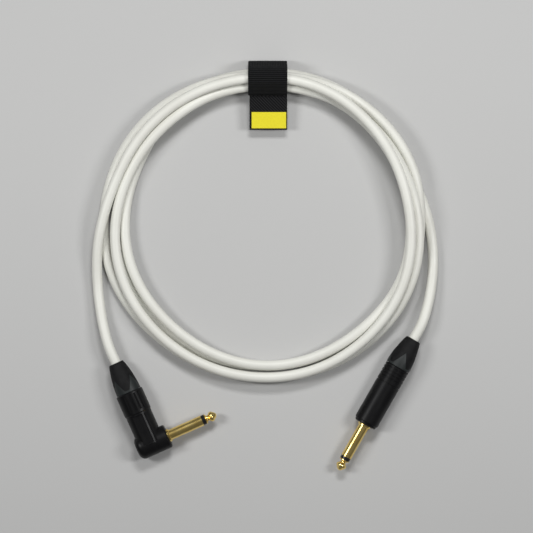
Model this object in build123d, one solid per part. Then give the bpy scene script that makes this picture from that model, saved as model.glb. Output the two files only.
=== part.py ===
from build123d import *
from math import cos, pi, radians, tan
import os

# Instrument cable lying coiled: 4.5 turns held by a hook-and-loop tie, a straight 6.35 mm phone plug on one
# end and a right-angle one on the other. Millimetres, +Z up, floor at Z = 0. The origin is under the middle
# of the box around the two plugs and the tie.
#
# Each plug is drawn in its own frame: X runs along the plug from the boot's cable end (x = 0) towards the
# housing, Z is up. A finger is drawn along X from its collar's seat (u = 0) to the point of its tip.

# ---------------------------------------------------------------- cable
CABLE_D = 6.0
CABLE_R = CABLE_D / 2
LEAD_POINTS_ANGLE = [  # right-angle plug's lead, from its boot to where it climbs onto the coil
    (-87.4, -57.7, 8.2), (-92.48, -46.28, 8.2), (-96.7, -28.5, 4.8), (-98.9, -8.0, 4.2),
    (-98.6, 10.5, 7.6), (-94.9, 28.5, 10.2), (-90.0, 43.5, 10.8),
]
LEAD_POINTS_STRAIGHT = [  # straight plug's lead, from its boot to where it passes under the coil
    (87.9, -43.75, 7.52), (93.62, -33.77, 7.52), (98.2, -17.5, 4.4), (100.2, 0.5, 3.2),
    (99.0, 18.5, 3.0), (94.5, 36.0, 3.0), (87.5, 51.5, 3.0),
]
CORNER_SHARE = 0.45  # part of the shorter run that each corner's arc takes up

# ---------------------------------------------------------------- coil
COIL_CENTRE = (1.5, 22.7)
COIL_RING_R = 87.0  # middle of the bundle of turns
COIL_WIDTH, COIL_HEIGHT, COIL_ROUND = 16.0, 14.0, 5.8
TIED_ARC = 28.0  # degrees of the coil that the tie draws together
RING_GAP_ARC = 19.0  # degrees round the tie with only the tied bundle
BUNDLE_R = 86.9
# the five turns under the tie: across the bundle, and up from the lowest turn's underside
BUNDLE_TURNS = [(-2.5, 3.0), (3.9, 3.0), (-4.1, 8.9), (1.8, 8.6), (0.3, 14.4)]

# ---------------------------------------------------------------- tie
STRAP_WIDTH, STRAP_THICK, STRAP_GAP, STRAP_SLACK = 22.4, 1.3, 0.15, 1.4
STRAP_UNDERLAP_Z = 1.5  # lowest point of the second layer, on the coil's outer side
STRAP_END_Z = 10.2  # the second layer's sewn end, on the coil's inner side
STRAP_X, TAB_X, PATCH_X = 2.0, 2.3, 0.3  # the strap's middle, the tab's, and the patch's on the tab
TAB_WIDTH, TAB_THICK = 21.6, 1.3
TAB_HINGE_Y, TAB_HINGE_Z, TAB_END_Y, TAB_DROOP = 98.8, 9.3, 79.7, 4.0
PATCH_WIDTH, PATCH_LENGTH, PATCH_THICK, PATCH_MARGIN = 20.6, 9.6, 0.3, 0.9
STITCHES, STITCH_LENGTH, STITCH_D = 9, 1.5, 0.35

# ---------------------------------------------------------------- plugs
STRAIGHT_AT = Location(LEAD_POINTS_STRAIGHT[0], (0, 0, 240.2))
ANGLE_AT = Location(LEAD_POINTS_ANGLE[0], (0, 0, -66.0))
BOOT_BORE_R, BOOT_END_R, BOOT_LENGTH = 3.15, 4.5, 17.4
CHUCK_POCKET_X, CHUCK_POCKET_R = 10.0, 5.0
COLLAR_X = (17.4, 18.6)  # bushing's visible ring, between boot and housing
COLLAR_R = 7.4
SKIRT_END_X, SKIRT_R, SKIRT_BORE_R = 27.0, 6.2, 5.4
HOUSING_BORE_R = 6.3
PETAL_TIP_X, PETAL_HALF_WIDTH, PETAL_THICK, PETAL_PROUD, PETALS = 9.2, 4.2, 1.2, 0.12, 4
CHUCK_X, CHUCK_R, CHUCK_SLOT, CHUCK_SLOT_END_X = (10.8, 31.0), 5.25, 1.0, 21.0
CHUCK_BORE_R = CABLE_R + 0.1

STRAIGHT_HOUSING_X, STRAIGHT_HOUSING_R = (18.8, 57.7), 7.4
STRAIGHT_GROOVES, GROOVE_WIDTH, GROOVE_DEPTH = (20.6, 22.6, 24.7, 26.8, 30.0), 0.8, 0.35
FRONT_WALL = 6.7  # thickness of the wall that holds the finger's shank

ANGLE_HOUSING_X, ANGLE_COLLAR_R, ANGLE_COLLAR_END_X = 18.8, 8.2, 31.8
ANGLE_BODY_R, HEAD_R, HEAD_BACK_Y, HEAD_BACK_ROUND = 7.8, 7.15, -9.4, 3.6
FINGER_X, HEAD_FACE_Y = 51.6, 10.7  # where the right-angle finger's collar sits
RIBS_Y, RIB_GROOVE_WIDTH, RIB_GROOVE_DEPTH, RIB_LENGTH = (-3.1, 0.4, 3.0, 5.3), 1.3, 0.6, 10.3
PANEL_X, PANEL_Y, PANEL_Z = (33.2, 51.0), (-4.3, 2.3), 6.75
RIDGE_Y = (2.4, 3.3)

# ---------------------------------------------------------------- phone-plug finger, along u
SLEEVE_R, SLEEVE_BORE_R, SLEEVE_END, FLANGE_R = 3.175, 2.4, 22.0, 5.5
SEAT_COLLAR_R, SEAT_COLLAR_LENGTH, SHANK_R, FLANGE_THICK = 3.95, 1.3, 3.9, 2.0
INSULATOR_END, INSULATOR_R, INSULATOR_TUBE_R, INSULATOR_BORE_R = 24.0, 3.0, 2.35, 1.3
ROD_R = 1.25
TIP_END = 31.0
TIP_FLANGE_END, TIP_FLANGE_R = 24.55, 2.95
WAIST_START, WAIST_MIDDLE, BALL_START = (25.1, 1.7), (26.0, 1.75), (27.0, 2.75)  # along u, and radius
BALL_TOP, BALL_END, NOSE = (27.8, 3.05), (28.8, 2.75), (30.6, 1.15)
LUG_THICK, WASHER_THICK, WASHER_R = 0.8, 1.4, 3.9
GROUND_LUG_R, GROUND_LUG_BORE_R, TIP_LUG_R = 5.3, 2.45, 2.9
FLANGE_BACK = -FRONT_WALL - FLANGE_THICK
GROUND_LUG_BACK = FLANGE_BACK - LUG_THICK
WASHER_BACK = GROUND_LUG_BACK - WASHER_THICK
TIP_LUG_BACK = WASHER_BACK - LUG_THICK
RIVET_BACK, RIVET_R = TIP_LUG_BACK - 0.8, 1.9

# ---------------------------------------------------------------- cable ends inside a plug
JACKET_END_X, JACKET_BORE_R = 32.5, 2.35
BRAID_END_X, BRAID_R, BRAID_BORE_R, PIGTAIL_D = 33.5, 2.3, 1.9, 1.0
CORE_END_X, CORE_R, CORE_BORE_R, CONDUCTOR_D = 35.0, 1.85, 0.45, 0.8
BEAD_LENGTH, BEAD_R = 3.8, 1.1
# Straight plug: the tip's lug tail runs back above the axis, the sleeve's below it.
STRAIGHT_GROUND_TAIL = ((37.5, STRAIGHT_HOUSING_X[1] + FLANGE_BACK), (-2.0, 2.0), (-5.2, -4.4))
STRAIGHT_TIP_TAIL = ((40.0, STRAIGHT_HOUSING_X[1] + WASHER_BACK), (-1.5, 1.5), (2.0, 2.8))
STRAIGHT_CONDUCTOR = [(37.0, 0, 0), (38.8, 0, 3.25), (44.2, 0, 3.25)]
STRAIGHT_PIGTAIL = [(32.7, 0, -2.4), (35.2, 0, -2.55), (37.0, 0, -3.85), (42.6, 0, -3.85)]
STRAIGHT_TIP_BEAD, STRAIGHT_GROUND_BEAD = (42.4, 0, 3.25), (40.8, 0, -3.85)
# Right-angle plug: both lugs lie across the finger, and their tails point back to the cable.
ANGLE_GROUND_TAIL_X, ANGLE_GROUND_TAIL_HALF_WIDTH = 38.0, 1.8
ANGLE_TIP_TAIL_X, ANGLE_TIP_TAIL_HALF_WIDTH = 40.0, 1.4
ANGLE_CONDUCTOR = [(37.0, 0, 0), (39.0, -1.45, 0), (44.4, -1.45, 0)]
ANGLE_PIGTAIL = [(32.7, 2.4, 0), (36.3, 2.55, 0), (43.0, 2.55, 0)]
ANGLE_TIP_BEAD, ANGLE_GROUND_BEAD = (42.6, -1.45, 0), (41.2, 2.55, 0)


# ---------------------------------------------------------------- helpers
def turned(*corners):
    """A solid turned about X from its outline's (x, radius) corners."""
    return revolve(make_face(Polyline(*corners, close=True)), Axis.X)


def tube(x_start, x_end, outer, inner):
    return turned((x_start, inner), (x_end, inner), (x_end, outer), (x_start, outer))


def block(x_range, y_range, z_range):
    sizes = [high - low for low, high in (x_range, y_range, z_range)]
    middle = [(high + low) / 2 for low, high in (x_range, y_range, z_range)]
    return Pos(*middle) * Box(*sizes)


def arc_radii(points):
    """The radius of each corner's arc: as large as the shorter of its two runs allows."""
    vectors = [Vector(*p) for p in points]
    radii = []
    for before, corner, after in zip(vectors, vectors[1:], vectors[2:]):
        run_in, run_out = corner - before, after - corner
        half_turn = radians(run_in.get_angle(run_out)) / 2
        radii.append(CORNER_SHARE * min(run_in.length, run_out.length) / tan(half_turn))
    return radii


def round_wire(points, diameter):
    """A round solid along straight runs joined by tangent arcs, and the length of its path."""
    path = FilletPolyline(*points, radius=arc_radii(points))
    section = Plane(origin=points[0], z_dir=Vector(*points[1]) - Vector(*points[0])) * Circle(diameter / 2)
    return sweep(section, path=path), path.length


def save(node, shape):
    solids = shape.solids()
    part = solids[0] if len(solids) == 1 else Compound(children=list(solids))
    export_step(part, f"parts/{node}.step")


# ---------------------------------------------------------------- cable and coil
def cable_lead(name, points):
    lead, length = round_wire(points, CABLE_D)
    expected = pi * CABLE_R**2 * length
    radii = ", ".join(f"{r:.0f}" for r in arc_radii(points))
    print(f"{name}: {length:.1f} mm, radii {radii} mm, volume {lead.volume:.0f} of {expected:.0f} mm3")
    return lead


def bundle_outline(grow, outward=0.0):
    """The outline round the five tied turns, grown on all sides, and pushed out on the coil's outer side."""
    circles = []
    for across, up in BUNDLE_TURNS:
        shift = outward if across > 0 else 0.0
        circles += (Pos(across + shift, up) * Circle(CABLE_R + grow)).edges()
    return make_hull(circles)


def swept_round_coil(face, radius, start_angle, arc):
    """Turn a section, drawn across and up, about the coil's middle."""
    section = Plane.XZ * Pos(radius, 0) * face
    ring = Rot(0, 0, start_angle) * revolve(section, Axis.Z, revolution_arc=arc)
    return Pos(*COIL_CENTRE) * ring


def coil():
    ring_section = Pos(0, COIL_HEIGHT / 2) * RectangleRounded(COIL_WIDTH, COIL_HEIGHT, COIL_ROUND)
    ring = swept_round_coil(ring_section, COIL_RING_R, 90 + RING_GAP_ARC / 2, 360 - RING_GAP_ARC)
    tied_section = Pos(0, STRAP_THICK + STRAP_GAP) * bundle_outline(0.0)
    tied = swept_round_coil(tied_section, BUNDLE_R, 90 - TIED_ARC / 2, TIED_ARC)
    return ring + tied


# ---------------------------------------------------------------- tie
def strap_section(grow, outward=0.0):
    return Plane.YZ * Pos(COIL_CENTRE[1] + BUNDLE_R, STRAP_THICK + STRAP_GAP) * bundle_outline(grow, outward)


def across_strap(face, width=STRAP_WIDTH):
    return Pos(STRAP_X, 0, 0) * extrude(face, width / 2, both=True, dir=(1, 0, 0))


def strap():
    """One strip wound once round the bundle and lapped over itself, slack on the coil's outer side."""
    one_layer, two_layers = STRAP_GAP + STRAP_THICK, STRAP_GAP + 2 * STRAP_THICK
    bundle_y = COIL_CENTRE[1] + BUNDLE_R
    first = across_strap(strap_section(one_layer))
    second = across_strap(strap_section(two_layers, STRAP_SLACK) - strap_section(one_layer, STRAP_SLACK))
    far = 40.0
    side = (STRAP_X - far, STRAP_X + far)
    second -= block(side, (bundle_y - far, bundle_y + far), (-far, STRAP_UNDERLAP_Z))
    second -= block(side, (bundle_y - far, bundle_y), (-far, STRAP_END_Z))
    seam = block(
        (STRAP_X - TAB_WIDTH / 2, STRAP_X + TAB_WIDTH / 2),
        (TAB_HINGE_Y + TAB_THICK / 2 + 0.15, bundle_y - 5.0),
        (TAB_HINGE_Z - TAB_THICK / 2, STRAP_END_Z + 0.4),
    )
    hole_section = Pos(0, STRAP_THICK + STRAP_GAP) * bundle_outline(STRAP_GAP)
    hole = swept_round_coil(hole_section, BUNDLE_R, 90 - TIED_ARC / 2, TIED_ARC)
    return first + second + seam - hole


def on_tab(shape):
    """From the tab's own frame, hinge line at its origin and tab along -Y, to its place on the strap."""
    return Pos(TAB_X, TAB_HINGE_Y, TAB_HINGE_Z) * Rot(TAB_DROOP, 0, 0) * shape


def tab():
    length = (TAB_HINGE_Y - TAB_END_Y) / cos(radians(TAB_DROOP))
    plate = block((-TAB_WIDTH / 2, TAB_WIDTH / 2), (-length, 0), (-TAB_THICK / 2, TAB_THICK / 2))
    corners = plate.edges().filter_by(Axis.Z).group_by(Axis.Y)[0]
    root = Rot(0, 90, 0) * Cylinder(TAB_THICK / 2, TAB_WIDTH)
    return on_tab(fillet(corners, 1.0) + root)


def patch():
    length = (TAB_HINGE_Y - TAB_END_Y) / cos(radians(TAB_DROOP))
    y_start = -length + PATCH_MARGIN
    top = TAB_THICK / 2 + 0.02
    side = (PATCH_X - PATCH_WIDTH / 2, PATCH_X + PATCH_WIDTH / 2)
    plate = block(side, (y_start, y_start + PATCH_LENGTH), (top, top + PATCH_THICK))
    return on_tab(fillet(plate.edges().filter_by(Axis.Z), 0.4))


def stitching():
    """The row of stitches that holds the tab to the strap's end."""
    pitch = TAB_WIDTH / STITCHES
    face_y = COIL_CENTRE[1] + BUNDLE_R + BUNDLE_TURNS[2][0] - CABLE_R - STRAP_GAP - 2 * STRAP_THICK
    stitches = []
    for i in range(STITCHES):
        x = STRAP_X + (i - (STITCHES - 1) / 2) * pitch
        stitch = Rot(0, 90, 0) * Cylinder(STITCH_D / 2, STITCH_LENGTH)
        stitches.append(Pos(x, face_y - STITCH_D / 2 - 0.02, STRAP_END_Z + 0.9) * stitch)
    return Compound(children=stitches)


# ---------------------------------------------------------------- gland parts, the same in both plugs
def boot_outline():
    """The boot's outer curve, from its cable end to the bushing's ring."""
    return Spline((0.4, BOOT_END_R), (4.7, 5.75), (9.4, 6.65), (13.0, 7.15), (BOOT_LENGTH, COLLAR_R))


def boot_skin(proud, thickness):
    """A layer that follows the boot's outer curve."""
    outer = Pos(0, proud) * boot_outline()
    inner = Pos(0, proud - thickness) * boot_outline()
    ends = [Line(inner @ 0, outer @ 0), Line(inner @ 1, outer @ 1)]
    return revolve(make_face([outer, inner, *ends]), Axis.X)


def petals(proud, thickness, first_angle):
    """Pointed tongues that reach from the bushing's ring along the boot's surface."""
    triangle = make_face(
        Polyline(
            (PETAL_TIP_X, 0), (BOOT_LENGTH, PETAL_HALF_WIDTH), (BOOT_LENGTH, -PETAL_HALF_WIDTH), close=True
        )
    )
    wedge = extrude(triangle, 12.0)
    skin = boot_skin(proud, thickness)
    shapes = []
    for i in range(PETALS):
        angle = first_angle + i * 360 / PETALS
        shapes += (skin & Rot(angle, 0, 0) * wedge).solids()
    return shapes


def boot(first_angle):
    curve = boot_outline()
    rim = Line((0, BOOT_END_R - 0.4), curve @ 0)
    back = Polyline(
        curve @ 1, (BOOT_LENGTH, CHUCK_POCKET_R), (CHUCK_POCKET_X, CHUCK_POCKET_R),
        (CHUCK_POCKET_X, BOOT_BORE_R), (0, BOOT_BORE_R), (0, BOOT_END_R - 0.4),
    )
    body = revolve(make_face([rim, curve, *back.edges()]), Axis.X)
    for pocket in petals(0.5, 0.5 + PETAL_THICK - PETAL_PROUD, first_angle):
        body -= pocket
    return body


def bushing(first_angle):
    body = tube(*COLLAR_X, COLLAR_R + PETAL_PROUD, SKIRT_BORE_R)
    body += tube(COLLAR_X[0], SKIRT_END_X, SKIRT_R, SKIRT_BORE_R)
    for petal in petals(PETAL_PROUD, PETAL_THICK, first_angle):
        body += petal
    return body


def chuck():
    """The split collet that the bushing presses onto the jacket."""
    start, end = CHUCK_X
    body = turned(
        (start, CHUCK_BORE_R), (end, CHUCK_BORE_R), (end, CHUCK_R - 0.6), (end - 0.6, CHUCK_R),
        (19.0, CHUCK_R), (17.6, CHUCK_R - 0.5), (start, CHUCK_R - 1.0),
    )
    for angle in (45, 135):
        slot = block((start - 1, CHUCK_SLOT_END_X), (-CHUCK_SLOT / 2, CHUCK_SLOT / 2), (-10, 10))
        body -= Rot(angle, 0, 0) * slot
    return body


# ---------------------------------------------------------------- finger parts, along u
def finger_sleeve():
    return turned(
        (FLANGE_BACK, SLEEVE_BORE_R), (SLEEVE_END, SLEEVE_BORE_R), (SLEEVE_END, SLEEVE_R),
        (SEAT_COLLAR_LENGTH, SLEEVE_R), (SEAT_COLLAR_LENGTH, SEAT_COLLAR_R - 0.2),
        (SEAT_COLLAR_LENGTH - 0.2, SEAT_COLLAR_R), (0, SEAT_COLLAR_R), (0, SHANK_R),
        (-FRONT_WALL, SHANK_R), (-FRONT_WALL, FLANGE_R), (FLANGE_BACK, FLANGE_R),
    )


def finger_insulator():
    return turned(
        (GROUND_LUG_BACK, INSULATOR_BORE_R), (INSULATOR_END, INSULATOR_BORE_R), (INSULATOR_END, INSULATOR_R),
        (SLEEVE_END, INSULATOR_R), (SLEEVE_END, INSULATOR_TUBE_R), (GROUND_LUG_BACK, INSULATOR_TUBE_R),
    )


def finger_tip():
    """The tip contact in one piece: rivet head, rod, flange, waist, ball and blunt cone."""
    back = Polyline(
        (TIP_END, 0), (RIVET_BACK, 0), (RIVET_BACK, RIVET_R), (TIP_LUG_BACK, RIVET_R), (TIP_LUG_BACK, ROD_R),
        (INSULATOR_END, ROD_R), (INSULATOR_END, TIP_FLANGE_R), (TIP_FLANGE_END, TIP_FLANGE_R), WAIST_START,
    )
    into_waist, up_ball, down_ball, blunt = (0.9, -0.4), (0.8, 0.6), (0.75, -0.65), (0.0, -1.0)
    waist = Spline(WAIST_START, WAIST_MIDDLE, BALL_START, tangents=[into_waist, up_ball])
    ball = Spline(BALL_START, BALL_TOP, BALL_END, tangents=[up_ball, down_ball])
    nose = Spline(BALL_END, NOSE, (TIP_END, 0), tangents=[down_ball, blunt])
    return revolve(make_face([*back.edges(), waist, ball, nose]), Axis.X)


def insulating_washer():
    return tube(WASHER_BACK, GROUND_LUG_BACK, WASHER_R, INSULATOR_BORE_R)


# ---------------------------------------------------------------- housings
def straight_housing():
    start, end = STRAIGHT_HOUSING_X
    wall_x = end - FRONT_WALL
    body = turned(
        (start, HOUSING_BORE_R), (wall_x, HOUSING_BORE_R), (wall_x, SEAT_COLLAR_R), (end, SEAT_COLLAR_R),
        (end, STRAIGHT_HOUSING_R - 1.3), (end - 0.5, STRAIGHT_HOUSING_R - 0.7),
        (end - 1.6, STRAIGHT_HOUSING_R - 0.6), (end - 1.7, STRAIGHT_HOUSING_R - 0.2),
        (end - 2.0, STRAIGHT_HOUSING_R), (start + 0.3, STRAIGHT_HOUSING_R), (start, STRAIGHT_HOUSING_R - 0.3),
    )
    for x in STRAIGHT_GROOVES:
        bottom = STRAIGHT_HOUSING_R - GROOVE_DEPTH
        body -= turned(
            (x - GROOVE_WIDTH / 2, STRAIGHT_HOUSING_R + 0.5), (x - GROOVE_WIDTH / 4, bottom),
            (x + GROOVE_WIDTH / 4, bottom), (x + GROOVE_WIDTH / 2, STRAIGHT_HOUSING_R + 0.5),
        )
    return body


def angle_housing():
    """One shell: ribbed collar, body with a sunk panel, and the head that the finger stands out of."""
    body = turned(
        (ANGLE_HOUSING_X, 0), (ANGLE_HOUSING_X, ANGLE_COLLAR_R - 0.4),
        (ANGLE_HOUSING_X + 0.4, ANGLE_COLLAR_R), (ANGLE_COLLAR_END_X, ANGLE_COLLAR_R),
        (ANGLE_COLLAR_END_X + 0.5, ANGLE_BODY_R), (FINGER_X, ANGLE_BODY_R), (FINGER_X, 0),
    )
    head_length = HEAD_FACE_Y - HEAD_BACK_Y
    head = Rot(90, 0, 0) * Cylinder(HEAD_R, head_length)
    head = Pos(FINGER_X, (HEAD_FACE_Y + HEAD_BACK_Y) / 2, 0) * head
    rims = head.edges().filter_by(GeomType.CIRCLE).sort_by(Axis.Y)
    head = fillet(rims[0], HEAD_BACK_ROUND)
    head = chamfer(head.edges().filter_by(GeomType.CIRCLE).sort_by(Axis.Y)[-1], 0.7)
    body += head
    for side in (1, -1):
        for y in RIBS_Y:
            depth_z = (ANGLE_COLLAR_R**2 - y**2) ** 0.5 - RIB_GROOVE_DEPTH
            body -= block(
                (ANGLE_HOUSING_X + 1.2, ANGLE_HOUSING_X + 1.2 + RIB_LENGTH),
                (y - RIB_GROOVE_WIDTH / 2, y + RIB_GROOVE_WIDTH / 2),
                tuple(sorted((side * depth_z, side * 12.0))),
            )
        panel = block(PANEL_X, PANEL_Y, tuple(sorted((side * PANEL_Z, side * 12.0))))
        step_y = (RIDGE_Y[1], RIDGE_Y[1] + 1.2)
        beside_ridge = block(PANEL_X, step_y, tuple(sorted((side * 6.4, side * 12.0))))
        body -= panel + beside_ridge
    body -= tube(ANGLE_HOUSING_X - 1, 46.5, HOUSING_BORE_R, 0)
    wall_y = HEAD_FACE_Y - FRONT_WALL
    cavity_back = HEAD_BACK_Y + 1.9
    cavity = Rot(90, 0, 0) * Cylinder(HEAD_R - 1.25, wall_y - cavity_back)
    body -= Pos(FINGER_X, (wall_y + cavity_back) / 2, 0) * cavity
    shank_hole = Rot(90, 0, 0) * Cylinder(SEAT_COLLAR_R, FRONT_WALL + 2)
    body -= Pos(FINGER_X, HEAD_FACE_Y - FRONT_WALL / 2, 0) * shank_hole
    return body


# ---------------------------------------------------------------- cable ends and terminals
def cable_end(name, place, conductor_route, pigtail_route):
    """Jacket, braid, core and conductor as stripped and dressed for soldering."""
    pigtail, _ = round_wire(pigtail_route, PIGTAIL_D)
    conductor, _ = round_wire([(0.0, 0.0, 0.0), *conductor_route], CONDUCTOR_D)
    braid = tube(0, BRAID_END_X, BRAID_R, BRAID_BORE_R)
    save(f"{name}_cable_jacket", place * tube(0, JACKET_END_X, CABLE_R, JACKET_BORE_R))
    save(f"{name}_cable_braid", place * (braid + pigtail))
    save(f"{name}_cable_core", place * tube(0, CORE_END_X, CORE_R, CORE_BORE_R))
    save(f"{name}_cable_conductor", place * conductor)
    return conductor, pigtail


def solder(at, *wet_parts):
    """A bead round the wire, cut back from the wire and from the terminal that it wets."""
    upper_half = Pos(0, BEAD_R) * Rectangle(2 * BEAD_LENGTH, 2 * BEAD_R)
    bead = Pos(*at) * revolve(Ellipse(BEAD_LENGTH / 2, BEAD_R) & upper_half, Axis.X)
    for part in wet_parts:
        bead -= part
    return max(bead.solids(), key=lambda piece: piece.volume)


def straight_terminals(conductor, pigtail):
    """Ring lugs on the finger's back, bent so that their tails run along the plug."""
    end = STRAIGHT_HOUSING_X[1]
    ground = Pos(end, 0, 0) * tube(GROUND_LUG_BACK, FLANGE_BACK, GROUND_LUG_R, GROUND_LUG_BORE_R)
    ground += block(*STRAIGHT_GROUND_TAIL)
    tip = Pos(end, 0, 0) * tube(TIP_LUG_BACK, WASHER_BACK, TIP_LUG_R, INSULATOR_BORE_R)
    tip += block(*STRAIGHT_TIP_TAIL)
    save("straight_ground_terminal", STRAIGHT_AT * ground)
    save("straight_tip_terminal", STRAIGHT_AT * tip)
    beads = [solder(STRAIGHT_TIP_BEAD, conductor, tip), solder(STRAIGHT_GROUND_BEAD, pigtail, ground)]
    save("straight_solder_joints", STRAIGHT_AT * Compound(children=beads))


def angle_terminals(conductor, pigtail):
    """Flat lugs in planes across the finger, with tails that point back to the cable."""

    def lug(u_back, u_front, ring_r, bore_r, tail_x, half_width):
        y_back, y_front = HEAD_FACE_Y + u_back, HEAD_FACE_Y + u_front
        ring = Pos(FINGER_X, HEAD_FACE_Y, 0) * Rot(0, 0, 90) * tube(u_back, u_front, ring_r, bore_r)
        tail = block((tail_x, FINGER_X - bore_r - 0.6), (y_back, y_front), (-half_width, half_width))
        return ring + tail

    ground = lug(
        GROUND_LUG_BACK, FLANGE_BACK, GROUND_LUG_R, GROUND_LUG_BORE_R,
        ANGLE_GROUND_TAIL_X, ANGLE_GROUND_TAIL_HALF_WIDTH,
    )
    tip = lug(
        TIP_LUG_BACK, WASHER_BACK, TIP_LUG_R, INSULATOR_BORE_R, ANGLE_TIP_TAIL_X, ANGLE_TIP_TAIL_HALF_WIDTH
    )
    save("angle_ground_terminal", ANGLE_AT * ground)
    save("angle_tip_terminal", ANGLE_AT * tip)
    beads = [solder(ANGLE_TIP_BEAD, conductor, tip), solder(ANGLE_GROUND_BEAD, pigtail, ground)]
    save("angle_solder_joints", ANGLE_AT * Compound(children=beads))


# ---------------------------------------------------------------- whole plugs
def plug(name, place, finger_place, petal_angle, housing):
    save(f"{name}_housing", place * housing)
    save(f"{name}_boot", place * boot(petal_angle))
    save(f"{name}_bushing", place * bushing(petal_angle))
    save(f"{name}_chuck", place * chuck())
    save(f"{name}_sleeve_contact", place * finger_place * finger_sleeve())
    save(f"{name}_tip_insulator", place * finger_place * finger_insulator())
    save(f"{name}_tip_contact", place * finger_place * finger_tip())
    save(f"{name}_insulating_washer", place * finger_place * insulating_washer())


def main():
    os.makedirs("parts", exist_ok=True)
    save("cable_lead_angle", cable_lead("right-angle plug's lead", LEAD_POINTS_ANGLE))
    save("cable_lead_straight", cable_lead("straight plug's lead", LEAD_POINTS_STRAIGHT))
    save("cable_coil", coil())

    save("tie_strap", strap())
    save("tie_tab", tab())
    save("tie_label_patch", patch())
    save("tie_stitching", stitching())

    plug("straight", STRAIGHT_AT, Pos(STRAIGHT_HOUSING_X[1], 0, 0), 0, straight_housing())
    plug("angle", ANGLE_AT, Pos(FINGER_X, HEAD_FACE_Y, 0) * Rot(0, 0, 90), 45, angle_housing())

    straight_terminals(*cable_end("straight", STRAIGHT_AT, STRAIGHT_CONDUCTOR, STRAIGHT_PIGTAIL))
    angle_terminals(*cable_end("angle", ANGLE_AT, ANGLE_CONDUCTOR, ANGLE_PIGTAIL))


main()
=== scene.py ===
from math import atan2, cos, degrees, hypot, pi, radians, sin

import bmesh
import bpy
import numpy as np
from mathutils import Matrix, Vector


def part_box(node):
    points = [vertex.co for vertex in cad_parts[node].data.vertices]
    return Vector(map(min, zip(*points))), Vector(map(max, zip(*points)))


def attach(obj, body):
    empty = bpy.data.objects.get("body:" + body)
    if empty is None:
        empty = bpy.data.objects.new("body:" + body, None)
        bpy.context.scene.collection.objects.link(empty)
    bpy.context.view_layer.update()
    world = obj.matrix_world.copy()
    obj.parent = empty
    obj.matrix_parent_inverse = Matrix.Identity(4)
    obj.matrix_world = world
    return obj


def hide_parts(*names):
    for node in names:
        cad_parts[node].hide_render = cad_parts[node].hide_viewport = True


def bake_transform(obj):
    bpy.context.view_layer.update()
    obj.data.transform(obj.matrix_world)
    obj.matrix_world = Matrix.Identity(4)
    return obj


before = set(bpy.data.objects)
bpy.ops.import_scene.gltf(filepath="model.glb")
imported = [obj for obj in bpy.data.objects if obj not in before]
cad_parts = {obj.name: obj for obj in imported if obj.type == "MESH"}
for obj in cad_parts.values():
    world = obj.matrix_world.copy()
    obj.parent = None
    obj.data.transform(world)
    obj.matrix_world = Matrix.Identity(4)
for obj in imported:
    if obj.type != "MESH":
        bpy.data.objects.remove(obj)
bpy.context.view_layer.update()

MM = 0.001

# ---------------------------------------------------------------- cable route, millimetres
CABLE_D = 6.0
COIL_CENTRE = (1.5, 22.7)
TURN_STEP = 7.5  # degrees between two points of the coil
LEAD_POINTS_ANGLE = [
    (-87.4, -57.7, 8.2), (-92.48, -46.28, 8.2), (-96.7, -28.5, 4.8), (-98.9, -8.0, 4.2),
    (-98.6, 10.5, 7.6), (-94.9, 28.5, 10.2), (-90.0, 43.5, 10.8),
]
LEAD_POINTS_STRAIGHT = [
    (87.9, -43.75, 7.52), (93.62, -33.77, 7.52), (98.2, -17.5, 4.4), (100.2, 0.5, 3.2),
    (99.0, 18.5, 3.0), (94.5, 36.0, 3.0), (87.5, 51.5, 3.0),
]
LEAD_STRAIGHT = 1.5  # from a lead's first point to one more, so that it leaves its boot straight
# Where each turn lies: (degrees clockwise from the coil's left, distance from its middle, height)
COIL_FIRST, COIL_LAST = 22.5, 1590.0
LEAD_MERGES = (45, 1560)  # before and after these angles the coil is its own lead's next stretch
TURN_ONE = [  # from the right-angle plug's lead, on top of the others
    (22.5, 92.0, 12.2), (45, 90.4, 14.2), (67, 88.2, 15.6), (90, 87.2, 15.85), (112, 87.2, 16.2),
    (135, 84.9, 16.6), (158, 84.1, 16.8), (172, 84.3, 16.8), (180, 84.6, 15.6), (202, 86.9, 13.4),
    (225, 87.6, 11.2), (247, 88.8, 9.3), (270, 88.8, 9.0), (315, 89.8, 8.9), (344, 90.7, 8.4),
]
TURN_TWO = [  # inner side at the tie, then crosses under turn one to the outer side
    (360, 89.2, 9.2), (382, 86.9, 9.6), (402, 85.4, 12.0), (420, 84.3, 11.6), (450, 82.8, 10.35),
    (472, 84.2, 10.3), (495, 85.9, 10.2), (518, 87.6, 11.4), (532, 88.9, 12.4), (540, 89.6, 11.6),
    (566, 91.4, 8.9), (585, 90.8, 6.1), (607, 89.4, 3.3), (630, 88.7, 3.0), (675, 91.1, 3.0),
    (704, 96.3, 3.0),
]
TURN_THREE = [  # outermost on the left, in the middle at the tie, outermost again on the right
    (720, 96.3, 3.0), (742, 95.6, 4.4), (765, 94.3, 7.4), (787, 91.0, 9.2), (810, 88.7, 10.05),
    (832, 89.8, 10.5), (855, 91.4, 11.2), (878, 91.9, 9.8), (892, 91.1, 8.0), (900, 90.2, 5.4),
    (912, 89.7, 3.4), (927, 88.6, 3.0), (945, 85.0, 3.0), (967, 82.8, 3.0), (990, 82.2, 3.0),
    (1035, 85.0, 3.0), (1064, 87.3, 3.0),
]
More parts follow.
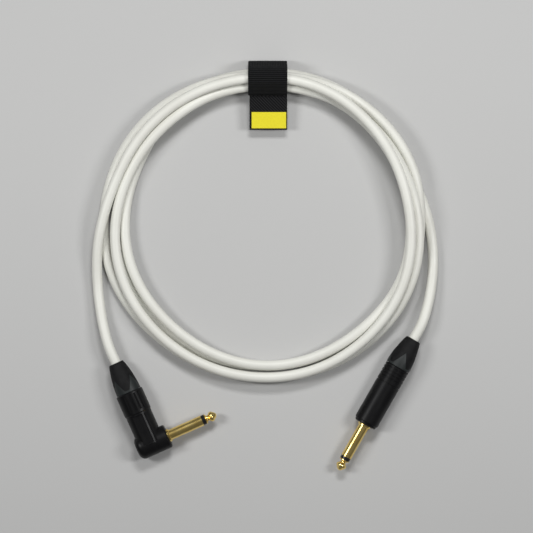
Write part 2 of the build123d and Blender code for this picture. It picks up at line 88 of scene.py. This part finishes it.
TURN_FOUR = [  # climbs over turn five to the inner side, then stays under the others up to the right
    (1080, 88.6, 3.0), (1102, 90.0, 3.2), (1114, 89.4, 5.6), (1124, 87.3, 8.0), (1136, 85.2, 6.4),
    (1150, 84.4, 4.4), (1170, 84.4, 4.45), (1192, 84.6, 4.2), (1215, 84.7, 4.6), (1238, 84.6, 6.0),
    (1260, 85.0, 7.4), (1284, 85.6, 7.4), (1305, 82.1, 8.5), (1327, 81.8, 8.9), (1350, 81.9, 9.0),
    (1395, 80.9, 8.0), (1424, 83.7, 7.2),
]
TURN_FIVE = [  # inner side on the left, along the floor to the outer side, into the straight plug's lead
    (1440, 84.0, 6.0), (1462, 84.4, 4.0), (1476, 85.5, 3.0), (1486, 88.0, 3.0), (1498, 90.6, 3.0),
    (1514, 90.9, 3.6), (1530, 90.8, 4.45), (1552, 91.5, 3.3), (1575, 91.0, 3.0), (1597, 90.8, 3.0),
]
TIE_ANGLE, TIE_HALF_ARC = 90.0, 9.0  # the tie holds the turns still here
SETTLE_ROUNDS, SETTLE_GAP = 400, 6.02
SETTLE_PUSH, SETTLE_RETURN, SETTLE_STIFFNESS = 0.8, 0.02, 0.03

# ---------------------------------------------------------------- tie, millimetres
BUNDLE_R = 86.9
BUNDLE_TURNS = [(-2.5, 3.0), (3.9, 3.0), (-4.1, 8.9), (1.8, 8.6), (0.3, 14.4)]
STRAP_WIDTH, STRAP_THICK, STRAP_GAP, STRAP_SLACK = 23.0, 1.3, 0.15, 1.4
STRAP_X, TAB_X, PATCH_X = 2.0, 2.4, 2.7
# degrees round the bundle, from facing outward, over the top
STRAP_FROM, STRAP_TO, LAP_FROM, SLACK_ENDS = -25, 538, 300, (410, 455)
TAB_WIDTH, TAB_THICK = 22.2, 1.3
TAB_HINGE_Y, TAB_HINGE_Z, TAB_END_Y, TAB_DROOP = 98.8, 9.3, 79.7, 4.0
TAB_ROOT, TAB_BEND = (101.0, 9.6), (0.9, 0.08)  # where the tab starts, and its bend before the hinge
PATCH_WIDTH, PATCH_THICK = 20.4, 0.3
WEAVE_UV = "weave"
WEAVE_STEP, WEAVE_ACROSS, SELVEDGE, PATH_SOFTENING = 0.2, 0.35, 0.55, 12
RIM_SHARE, END_SHARE = 0.35, 0.45  # of the thickness, left at the selvedge and at the cut end
WEAVE_RELIEF, STRAP_RIB, STRAP_YARN, TAB_DIAMOND = 0.09, 1.2, 1.5, 1.8
PATCH_RELIEF, PATCH_TWILL = 0.02, 1.2

# ---------------------------------------------------------------- studio, metres
LENS, VIEW_WIDTH, VIEW_PLANE, VIEW_CENTRE = 180, 0.3145, 0.006, (0.0013, -0.0008)
LOOK_AT = (0.0, 0.0, 0.0)
FLOOR, FLOOR_GREY = 3.0, (0.50, 0.50, 0.495)
KEY_PLACE, KEY_SIZE, KEY_WATTS = (0.05, 0.46, 0.74), (0.26, 0.14), 3.3
SIDE_PLACE, SIDE_SIZE, SIDE_WATTS = (0.50, 0.06, 0.66), (0.13, 0.26), 2.4
SURROUND = 0.11


def lanes():
    """Angle, distance and height of every coil point: a smooth curve through the stations above."""
    stations = np.array(TURN_ONE + TURN_TWO + TURN_THREE + TURN_FOUR + TURN_FIVE)
    angles = np.arange(COIL_FIRST, COIL_LAST + TURN_STEP / 2, TURN_STEP)
    span = stations[2:, 0] - stations[:-2, 0]
    slopes = (stations[2:] - stations[:-2]) / span[:, None]
    slopes = np.vstack([slopes[:1], slopes, slopes[-1:]])
    at = np.clip(np.searchsorted(stations[:, 0], angles, side="right") - 1, 0, len(stations) - 2)
    width = stations[at + 1, 0] - stations[at, 0]
    t = ((angles - stations[at, 0]) / width)[:, None]
    start, end = stations[at], stations[at + 1]
    leave, arrive = slopes[at] * width[:, None], slopes[at + 1] * width[:, None]
    curve = (2 * t**3 - 3 * t**2 + 1) * start + (t**3 - 2 * t**2 + t) * leave
    curve += (3 * t**2 - 2 * t**3) * end + (t**3 - t**2) * arrive
    return angles, curve[:, 1], np.maximum(curve[:, 2], CABLE_D / 2)


def polar(point):
    """Degrees clockwise from the coil's left, distance from its middle, and height of a point."""
    x, y = point[0] - COIL_CENTRE[0], point[1] - COIL_CENTRE[1]
    return 180 - degrees(atan2(y, x)), hypot(x, y), point[2]


def beside(points, angles):
    """Distance and height of a lead at each coil angle, and no number where it isn't there."""
    rows = sorted(polar(p) for p in points)
    if rows[-1][0] - rows[0][0] > 180:
        rows = sorted(((a + 180) % 360 - 180, r, z) for a, r, z in rows)
    low = rows[0][0]
    around = (angles - low) % 360 + low
    a, r, z = np.array(rows).T
    return np.interp(around, a, r, right=np.nan), np.interp(around, a, z, right=np.nan)


def settled(angles, distance, height):
    """Lets turns that are closer than a diameter push each other apart, with the cable's stiffness."""
    r, z = distance.copy(), height.copy()
    per_turn = round(360 / TURN_STEP)
    tied = np.abs(angles % 360 - TIE_ANGLE) <= TIE_HALF_ARC
    tied[:2] = tied[-2:] = True
    neighbours = [
        (*beside(LEAD_POINTS_ANGLE[1:-1], angles), angles < LEAD_MERGES[0]),
        (*beside(LEAD_POINTS_STRAIGHT[1:-1], angles), angles > LEAD_MERGES[1]),
    ]
    for _ in range(SETTLE_ROUNDS):
        push_r, push_z = np.zeros_like(r), np.zeros_like(z)
        for shift in range(per_turn, len(r), per_turn):
            across, up = r[shift:] - r[:-shift], z[shift:] - z[:-shift]
            apart = np.hypot(across, up)
            share = np.clip(SETTLE_GAP - apart, 0, None) / 2 / np.maximum(apart, 1e-6)
            push_r[shift:] += share * across
            push_r[:-shift] -= share * across
            push_z[shift:] += share * up
            push_z[:-shift] -= share * up
        for lead_r, lead_z, same_stretch in neighbours:
            across, up = r - lead_r, z - lead_z
            apart = np.hypot(across, up)
            share = np.clip(SETTLE_GAP - apart, 0, None) / np.maximum(apart, 1e-6)
            share = np.where(np.isnan(apart) | same_stretch, 0, share)
            push_r += np.nan_to_num(share * across)
            push_z += np.nan_to_num(share * up)
        r += SETTLE_PUSH * push_r + SETTLE_RETURN * (distance - r)
        z += SETTLE_PUSH * push_z + SETTLE_RETURN * (height - z)
        for row in (r, z):
            stiff = -row[:-4] + 4 * row[1:-3] - 6 * row[2:-2] + 4 * row[3:-1] - row[4:]
            row[2:-2] += SETTLE_STIFFNESS * stiff
        z = np.maximum(z, CABLE_D / 2)
        r[tied], z[tied] = distance[tied], height[tied]
    return r, z


def coil_points():
    """Control points of the turns. A spline of this kind passes inside its points, hence the cosine."""
    angles, distance, height = lanes()
    distance, height = settled(angles, distance, height)
    outside = distance / cos(radians(TURN_STEP / 2))
    theta = np.radians(180 - angles)
    x = COIL_CENTRE[0] + outside * np.cos(theta)
    y = COIL_CENTRE[1] + outside * np.sin(theta)
    return list(zip(x, y, height))


# ---------------------------------------------------------------- objects and meshes
def link(obj, body):
    bpy.context.scene.collection.objects.link(obj)
    if body:
        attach(obj, body)
    return obj


def mesh_object(name, vertices, faces, material):
    mesh = bpy.data.meshes.new(name)
    mesh.from_pydata([tuple(v) for v in vertices], [], faces)
    mesh.validate()
    mesh.materials.append(material)
    mesh.polygons.foreach_set("use_smooth", [True] * len(mesh.polygons))
    mesh.update()
    return bpy.data.objects.new(name, mesh)


def closed_strip(rows_top, rows_bottom):
    """Vertices and faces of a closed slab from two grids of points of the same size."""
    n, m = len(rows_top), len(rows_top[0])
    vertices = [p for row in rows_top for p in row] + [p for row in rows_bottom for p in row]
    low = n * m
    faces = []
    for i in range(n - 1):
        for j in range(m - 1):
            a, b, c, d = i * m + j, i * m + j + 1, (i + 1) * m + j + 1, (i + 1) * m + j
            faces.append((a, b, c, d))
            faces.append((low + d, low + c, low + b, low + a))
    for i in range(n - 1):
        for j, flip in ((0, False), (m - 1, True)):
            a, b = i * m + j, (i + 1) * m + j
            side = (a, b, low + b, low + a)
            faces.append(side[::-1] if flip else side)
    for j in range(m - 1):
        for i, flip in ((0, True), (n - 1, False)):
            a, b = i * m + j, i * m + j + 1
            end = (a, b, low + b, low + a)
            faces.append(end[::-1] if flip else end)
    return vertices, faces


# ---------------------------------------------------------------- materials
class Surface:
    """A principled material, built up from procedural nodes in the object's own coordinates."""

    def __init__(self, name, **sockets):
        self.material = bpy.data.materials.new(name)
        self.material.use_nodes = True
        self.tree = self.material.node_tree
        self.shader = self.tree.nodes["Principled BSDF"]
        for socket, value in sockets.items():
            self.shader.inputs[socket.replace("_", " ")].default_value = value
        self.place = self.node("ShaderNodeTexCoord").outputs["Object"]

    def node(self, kind, links=None, **values):
        made = self.tree.nodes.new(kind)
        for key, value in values.items():
            setattr(made, key, value)
        for socket, source in (links or {}).items():
            if isinstance(source, bpy.types.NodeSocket):
                self.tree.links.new(source, made.inputs[socket])
            else:
                made.inputs[socket].default_value = source
        return made

    def turned(self, degrees_about_z):
        """Coordinates whose X runs along a plug that points that way."""
        mapping = self.node(
            "ShaderNodeMapping",
            {"Vector": self.place, "Rotation": (0, 0, -radians(degrees_about_z))},
        )
        return mapping.outputs["Vector"]

    def along_cloth(self):
        """Coordinates across and along a webbing strip, in millimetres."""
        return self.node("ShaderNodeUVMap", uv_map=WEAVE_UV).outputs["UV"]

    def noise(self, size, detail=2.0, vector=None):
        """Clouds of about this size, in the coordinates' own units."""
        links = {"Vector": vector or self.place, "Scale": 1 / size, "Detail": detail}
        return self.node("ShaderNodeTexNoise", links).outputs["Fac"]

    def waves(self, direction, period, vector, distortion=0.0):
        """Parallel ridges that far apart. Blender's wave repeats 20 / (2 pi) times per unit at scale 1."""
        links = {"Vector": vector, "Scale": 2 * pi / (20 * period), "Distortion": distortion}
        return self.node("ShaderNodeTexWave", links, bands_direction=direction).outputs["Fac"]

    def math(self, operation, a, b):
        return self.node("ShaderNodeMath", {0: a, 1: b}, operation=operation).outputs[0]

    def colour(self, factor, *stops):
        """Base colour from a pattern, through (position, colour) stops."""
        ramp = self.node("ShaderNodeValToRGB", {"Fac": factor})
        elements = ramp.color_ramp.elements
        while len(elements) < len(stops):
            elements.new(0.5)
        for element, (position, rgb) in zip(elements, stops):
            element.position = position
            element.color = (*rgb, 1)
        self.tree.links.new(ramp.outputs["Color"], self.shader.inputs["Base Color"])

    def roughness(self, factor, low, high):
        spread = self.node("ShaderNodeMapRange", {"Value": factor, "To Min": low, "To Max": high})
        self.tree.links.new(spread.outputs["Result"], self.shader.inputs["Roughness"])

    def relief(self, height, depth, strength=1.0):
        """Bump that deep, on top of any bump already there."""
        links = {"Height": height, "Distance": depth, "Strength": strength}
        old = self.shader.inputs["Normal"].links
        if old:
            links["Normal"] = old[0].from_socket
        bump = self.node("ShaderNodeBump", links)
        self.tree.links.new(bump.outputs["Normal"], self.shader.inputs["Normal"])


def jacket_material():
    """Satin white PVC: faint clouding, a little handling grime and a fine extruded grain."""
    s = Surface("jacket_pvc", Specular_IOR_Level=0.45)
    clouds = s.noise(0.022, 4)
    s.colour(clouds, (0.3, (0.71, 0.705, 0.65)), (0.55, (0.745, 0.745, 0.69)), (0.8, (0.775, 0.775, 0.72)))
    s.roughness(s.noise(0.004, 3), 0.36, 0.52)
    s.relief(s.noise(0.0016, 2), 0.00007, 0.7)
    s.relief(s.noise(0.0006, 2), 0.00004, 0.7)
    return s.material


def webbing_material(name, dark, light, rib, yarn, diagonal=False):
    """Woven nylon: ribs with yarns across them, dull black, with a painted highlight on the rib tops and
    painted shade in the grooves between them.
    """
    s = Surface(name, Specular_IOR_Level=0.12)
    cloth = s.along_cloth()
    if diagonal:
        turn = s.node("ShaderNodeMapping", {"Vector": cloth, "Rotation": (0, 0, radians(-45))})
        cloth = turn.outputs["Vector"]
    ribs = s.waves("Y", rib, cloth)
    yarns = s.waves("X", yarn, cloth, 0.3)
    weave = s.math("MULTIPLY", ribs, s.math("ADD", s.math("MULTIPLY", yarns, 0.6), 0.4))
    fuzz = s.noise(0.15, 3, cloth)
    # base colour: painted highlight on the rib crests and painted shade in the grooves, times random yarn
    # fuzz
    rib_highlight_and_fuzz = s.math("MULTIPLY", weave, s.math("ADD", fuzz, 0.4))
    s.colour(rib_highlight_and_fuzz, (0.15, dark), (0.85, light))
    s.roughness(fuzz, 0.55, 0.8)
    s.relief(weave, 0.0003, 1.0)
    s.relief(fuzz, 0.00008, 0.6)
    return s.material


def coated_metal_material(name, degrees_about_z):
    """Satin black coating: fine powder texture, drawn out a little along the shell."""
    s = Surface(name, Coat_Weight=0.03, Coat_Roughness=0.25, Specular_IOR_Level=0.16)
    along = s.turned(degrees_about_z)
    stretch = s.node("ShaderNodeMapping", {"Vector": along, "Scale": (0.35, 1.0, 1.0)}).outputs["Vector"]
    s.colour(s.noise(0.006, 4, stretch), (0.3, (0.003, 0.003, 0.0034)), (0.75, (0.008, 0.008, 0.0085)))
    s.roughness(s.noise(0.0022, 4, stretch), 0.30, 0.46)
    s.relief(s.noise(0.00028, 2), 0.000018, 0.55)
    return s.material


def elastomer_material():
    """Matt black moulded rubber, very slightly dusty."""
    s = Surface("boot_elastomer", Specular_IOR_Level=0.14, Sheen_Weight=0.02, Sheen_Roughness=0.4)
    s.colour(s.noise(0.003, 5), (0.3, (0.005, 0.005, 0.0054)), (0.8, (0.012, 0.012, 0.0124)))
    s.roughness(s.noise(0.0015, 3), 0.52, 0.72)
    s.relief(s.noise(0.0004, 3), 0.00004, 0.5)
    return s.material


def moulded_plastic_material(name, low, high, rough):
    """Moulded plastic: slight colour drift, eroded-mould texture."""
    s = Surface(name, Specular_IOR_Level=0.35)
    s.colour(s.noise(0.004, 3), (0.3, low), (0.75, high))
    s.roughness(s.noise(0.002, 3), *rough)
    s.relief(s.noise(0.0003, 2), 0.000025, 0.5)
    return s.material


def turned_metal_material(name, degrees_about_z, low, high, rough, line=0.00022):
    """Plated metal off a lathe: faint rings round its axis, and rub marks along it from plugging in."""
    s = Surface(name, Metallic=1.0)
    along = s.turned(degrees_about_z)
    s.colour(s.noise(0.005, 3), (0.3, low), (0.75, high))
    marks = s.node("ShaderNodeMapping", {"Vector": along, "Scale": (0.5, 1.6, 1.6)}).outputs["Vector"]
    s.roughness(s.noise(0.0035, 5, marks), *rough)
    s.relief(s.waves("X", line, along, 0.6), 0.000001, 0.2)
    s.relief(s.noise(0.004, 2), 0.000005, 0.3)
    return s.material


def wire_material(name, low, high, strand, degrees_about_z):
    """Fine copper strands, laid at a slant round the wire."""
    s = Surface(name, Metallic=1.0)
    along = s.turned(degrees_about_z)
    slant = s.node("ShaderNodeMapping", {"Vector": along, "Rotation": (0, 0, radians(32))})
    one_way = s.waves("X", strand, slant.outputs["Vector"])
    back = s.node("ShaderNodeMapping", {"Vector": along, "Rotation": (0, 0, radians(-32))})
    braid = s.math("MAXIMUM", one_way, s.waves("X", strand, back.outputs["Vector"]))
    s.colour(braid, (0.2, low), (0.9, high))
    s.roughness(s.noise(0.002, 3), 0.28, 0.45)
    s.relief(braid, 0.0001, 0.8)
    return s.material


def floor_material():
    s = Surface("floor_paper", Specular_IOR_Level=0.2)
    s.colour(s.noise(0.3, 2), (0.3, FLOOR_GREY), (0.8, tuple(c * 1.03 for c in FLOOR_GREY)))
    s.roughness(s.noise(0.02, 2), 0.7, 0.85)
    s.relief(s.noise(0.0012, 2), 0.00002, 0.3)
    return s.material


# ---------------------------------------------------------------- cable
def straight_out(points):
    """The lead's points, with one more on the line out of the boot, which the gland slides along."""
    first, second = Vector(points[0]), Vector(points[1])
    more = first + (second - first).normalized() * LEAD_STRAIGHT
    return [points[0], tuple(more), *points[1:]]


def cable():
    """The whole cable as one spline, from the straight plug's boot to the right-angle plug's."""
    coil = coil_points()
    points = straight_out(LEAD_POINTS_STRAIGHT) + coil[::-1] + straight_out(LEAD_POINTS_ANGLE)[::-1]
    curve = bpy.data.curves.new("cable", "CURVE")
    curve.dimensions = "3D"
    curve.bevel_depth = CABLE_D / 2 * MM
    curve.bevel_resolution = 7
    curve.resolution_u = 6
    curve.use_fill_caps = True
    spline = curve.splines.new("NURBS")
    spline.points.add(len(points) - 1)
    for target, point in zip(spline.points, points):
        target.co = (*(c * MM for c in point), 1)
    spline.order_u = 3
    spline.use_endpoint_u = True
    curve.materials.append(jacket_material())
    obj = link(bpy.data.objects.new("cable", curve), "cable")
    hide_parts("cable_lead_angle", "cable_lead_straight", "cable_coil")


# ---------------------------------------------------------------- tie
def hull_point(facing, grow, outward=0.0):
    """Where the tied bundle's outline, grown, faces that way: (along Y, up), millimetres."""
    way = Vector((cos(facing), sin(facing)))
    centre = max((Vector(c) for c in BUNDLE_TURNS), key=lambda c: c.dot(way))
    place = Vector((COIL_CENTRE[1] + BUNDLE_R, STRAP_THICK + STRAP_GAP)) + centre
    return place + way * (CABLE_D / 2 + grow) + Vector((outward, 0))


def smooth_step(value, low, high):
    t = min(max((value - low) / (high - low), 0), 1)
    return t * t * (3 - 2 * t)


def evenly(points, spacing):
    """The same line with its points that far apart, softened where it turns."""
    points = np.array(points)
    along = np.concatenate([[0], np.cumsum(np.linalg.norm(np.diff(points, axis=0), axis=1))])
    at = np.linspace(0, along[-1], round(along[-1] / spacing) + 1)
    line = np.column_stack([np.interp(at, along, column) for column in points.T])
    for _ in range(PATH_SOFTENING):
        line[1:-1] = (line[:-2] + 2 * line[1:-1] + line[2:]) / 4
    return line


def strap_path():
    """Once round the bundle, then lapped up the outer side and over the top to the inner side."""
    points = []
    for step in range(STRAP_FROM, STRAP_TO + 1):
        lap = smooth_step(step, LAP_FROM, STRAP_FROM + 360)
        slack = STRAP_SLACK * lap * (1 - smooth_step(step, *SLACK_ENDS))
        grow = STRAP_GAP + STRAP_THICK * (0.5 + lap)
        points.append(tuple(hull_point(radians(step), grow, slack)))
    return evenly(points, WEAVE_STEP)


def strip(name, path, middle, half_width, thickness, relief, material, left_hand=False):
    """A webbing strip along a line of (Y, Z) points, its middle at that X, with rounded selvedges
    and woven relief on its face."""
    tangent = np.gradient(path, axis=0)
    tangent /= np.linalg.norm(tangent, axis=1)[:, None]
    normal = np.column_stack([tangent[:, 1], -tangent[:, 0]]) * (-1 if left_hand else 1)
    along = np.concatenate([[0], np.cumsum(np.linalg.norm(np.diff(path, axis=0), axis=1))])
    across = np.linspace(-half_width, half_width, round(2 * half_width / WEAVE_ACROSS) + 1)
    rim = np.clip((half_width - np.abs(across)) / SELVEDGE, 0, 1)
    rounding = RIM_SHARE + (1 - RIM_SHARE) * np.sqrt(1 - (1 - rim) ** 2)
    ends = np.clip(np.minimum(along, along[-1] - along) / SELVEDGE, 0, 1)
    end_rounding = END_SHARE + (1 - END_SHARE) * np.sqrt(1 - (1 - ends) ** 2)
    rounding = rounding[None, :] * end_rounding[:, None]
    pattern = relief(across[None, :], along[:, None]) * rim[None, :]
    faces_up, faces_down = [], []
    for i, (point, out) in enumerate(zip(path, normal)):
        lift = thickness / 2 * rounding[i] + pattern[i]
        drop = thickness / 2 * rounding[i]
        faces_up.append([
            ((middle + u) * MM, (point[0] + out[0] * h) * MM, (point[1] + out[1] * h) * MM)
            for u, h in zip(across, lift)
        ])
        faces_down.append([
            ((middle + u) * MM, (point[0] - out[0] * h) * MM, (point[1] - out[1] * h) * MM)
            for u, h in zip(across, drop)
        ])
    vertices, faces = closed_strip(faces_up, faces_down)
    obj = mesh_object(name, vertices, faces, material)
    layer = obj.data.uv_layers.new(name=WEAVE_UV)
    places = [(u, s) for s in along for u in across] * 2
    for loop in obj.data.loops:
        layer.data[loop.index].uv = places[loop.vertex_index]
    bm = bmesh.new()
    bm.from_mesh(obj.data)
    bmesh.ops.recalc_face_normals(bm, faces=bm.faces)
    bm.to_mesh(obj.data)
    bm.free()
    return obj


def ribbed(u, s):
    yarns = 0.75 + 0.25 * np.cos(2 * pi * u / STRAP_YARN)
    return -WEAVE_RELIEF * np.cos(2 * pi * s / STRAP_RIB) * yarns


def diamond_weave(u, s):
    one_way, other_way = 2 * pi * (s + u) / TAB_DIAMOND, 2 * pi * (s - u) / TAB_DIAMOND
    return WEAVE_RELIEF * np.cos(one_way) * np.cos(other_way)


def twill(u, s):
    return PATCH_RELIEF * np.cos(2 * pi * (s + u) / PATCH_TWILL)


def tie():
    strap_cloth = webbing_material(
        "strap_webbing", (0.0015, 0.0015, 0.002), (0.026, 0.027, 0.028), STRAP_RIB, 0.5
    )
    tab_cloth = webbing_material(
        "tab_webbing", (0.0015, 0.0015, 0.002), (0.030, 0.031, 0.032), TAB_DIAMOND / 2**0.5, 0.6, True
    )
    strap = strip(
        "tie_webbing", strap_path(), STRAP_X, STRAP_WIDTH / 2, STRAP_THICK, ribbed, strap_cloth
    )
    link(strap, "cable")
    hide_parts("tie_strap")

    droop = radians(TAB_DROOP)
    reach = TAB_HINGE_Y - TAB_END_Y
    tab_line = [
        TAB_ROOT, (TAB_HINGE_Y + TAB_BEND[0], TAB_HINGE_Z + TAB_BEND[1]), (TAB_HINGE_Y, TAB_HINGE_Z),
        (TAB_END_Y, TAB_HINGE_Z - reach * sin(droop) / cos(droop)),
    ]
    tab = strip(
        "tie_label_tab", evenly(tab_line, WEAVE_STEP), TAB_X, TAB_WIDTH / 2, TAB_THICK, diamond_weave,
        tab_cloth, left_hand=True,
    )
    link(tab, None)
    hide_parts("tie_tab")
    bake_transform(tab)
    patch_cloth = patch_material()
    low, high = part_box("tie_label_patch")
    lift = PATCH_THICK / 2 / cos(droop)
    top_low = high.z / MM - lift - (high.y - low.y) / MM * sin(droop)
    patch_line = [(low.y / MM, top_low), (high.y / MM, high.z / MM - lift)]
    patch = strip(
        "tie_patch", evenly(patch_line, WEAVE_STEP), PATCH_X, PATCH_WIDTH / 2, PATCH_THICK, twill,
        patch_cloth,
    )
    link(patch, "tie_tab")
    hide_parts("tie_label_patch")


def patch_material():
    """Woven yellow label: fine weft over warp, the colour drifting a little."""
    s = Surface("label_weave", Sheen_Weight=0.15, Specular_IOR_Level=0.3)
    cloth = s.along_cloth()
    weft = s.waves("Y", 0.24, cloth, 0.3)
    warp = s.waves("X", 0.3, cloth, 0.3)
    weave = s.math("MULTIPLY", weft, warp)
    s.colour(
        s.math("ADD", s.math("MULTIPLY", weave, 0.6), s.math("MULTIPLY", s.noise(1.2, 3, cloth), 0.4)),
        (0.1, (0.74, 0.64, 0.016)), (0.75, (0.96, 0.86, 0.03)),
    )
    s.roughness(weave, 0.6, 0.85)
    s.relief(weave, 0.0001, 0.8)
    return s.material


# ---------------------------------------------------------------- finishes of the modelled plugs
# degrees from +X, seen from above, that each plug's shell and its finger point
PLUG_WAYS = (("straight", 240.2, 240.2), ("angle", -66.0, 24.0))


def finish_plugs():
    rubber = elastomer_material()
    petals = moulded_plastic_material(
        "bushing_plastic", (0.010, 0.013, 0.013), (0.019, 0.023, 0.023), (0.40, 0.55)
    )
    acetal = moulded_plastic_material("chuck_acetal", (0.66, 0.66, 0.62), (0.76, 0.76, 0.73), (0.35, 0.5))
    black = moulded_plastic_material(
        "insulator_plastic", (0.007, 0.007, 0.008), (0.015, 0.015, 0.016), (0.22, 0.34)
    )
    red = moulded_plastic_material("core_plastic", (0.42, 0.035, 0.03), (0.52, 0.05, 0.04), (0.3, 0.42))
    thread = moulded_plastic_material(
        "thread", (0.006, 0.006, 0.0065), (0.02, 0.02, 0.021), (0.6, 0.8)
    )
    tin = turned_metal_material("solder_tin", 0, (0.55, 0.55, 0.56), (0.72, 0.72, 0.73), (0.18, 0.4), 0.003)
    brass = turned_metal_material(
        "terminal_brass", 0, (0.72, 0.52, 0.22), (0.86, 0.66, 0.32), (0.22, 0.38), 0.0006
    )
    white = jacket_material()
    for name, plug_way, finger_way in PLUG_WAYS:
        gold = turned_metal_material(
            f"{name}_gold", finger_way, (0.94, 0.67, 0.20), (1.0, 0.79, 0.32), (0.18, 0.30)
        )
        finishes = {
            "housing": coated_metal_material(f"{name}_coating", plug_way),
            "boot": rubber, "bushing": petals, "chuck": acetal,
            "sleeve_contact": gold, "tip_contact": gold,
            "tip_insulator": black, "insulating_washer": black,
            "ground_terminal": brass, "tip_terminal": brass, "solder_joints": tin,
            "cable_jacket": white, "cable_core": red,
            "cable_braid": wire_material(
                f"{name}_braid", (0.30, 0.13, 0.07), (0.80, 0.46, 0.30), 0.0004, plug_way
            ),
            "cable_conductor": wire_material(
                f"{name}_strands", (0.36, 0.16, 0.09), (0.82, 0.48, 0.31), 0.00022, plug_way
            ),
        }
        for part, material in finishes.items():
            repaint(f"{name}_{part}", material)
    repaint("tie_stitching", thread)


def repaint(node, material):
    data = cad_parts[node].data
    data.materials.clear()
    data.materials.append(material)


# ---------------------------------------------------------------- studio
def area_light(name, place, size, power):
    light = bpy.data.lights.new(name, "AREA")
    light.shape = "RECTANGLE"
    light.size, light.size_y = size
    light.energy = power
    obj = bpy.data.objects.new(name, light)
    bpy.context.scene.collection.objects.link(obj)
    obj.location = place
    obj.rotation_euler = (Vector(LOOK_AT) - Vector(place)).to_track_quat("-Z", "Y").to_euler()


def studio():
    floor = mesh_object(
        "floor", [(-FLOOR, -FLOOR, 0), (FLOOR, -FLOOR, 0), (FLOOR, FLOOR, 0), (-FLOOR, FLOOR, 0)],
        [(0, 1, 2, 3)], floor_material(),
    )
    bpy.context.scene.collection.objects.link(floor)
    area_light("key_far", KEY_PLACE, KEY_SIZE, KEY_WATTS)
    area_light("side_left", (-SIDE_PLACE[0], *SIDE_PLACE[1:]), SIDE_SIZE, SIDE_WATTS)
    area_light("side_right", SIDE_PLACE, SIDE_SIZE, SIDE_WATTS)
    world = bpy.data.worlds.new("studio")
    world.use_nodes = True
    background = world.node_tree.nodes["Background"]
    background.inputs["Color"].default_value = (1.0, 1.0, 1.0, 1)
    background.inputs["Strength"].default_value = SURROUND
    bpy.context.scene.world = world
    bpy.context.scene.view_settings.view_transform = "Standard"


def camera():
    """Straight above, far enough back that the coil's height hardly shifts it."""
    data = bpy.data.cameras.new("camera")
    data.lens = LENS
    obj = bpy.data.objects.new("camera", data)
    bpy.context.scene.collection.objects.link(obj)
    height = VIEW_WIDTH * LENS / data.sensor_width + VIEW_PLANE
    obj.location = (*VIEW_CENTRE, height)
    bpy.context.scene.camera = obj


cable()
tie()
finish_plugs()
studio()
camera()
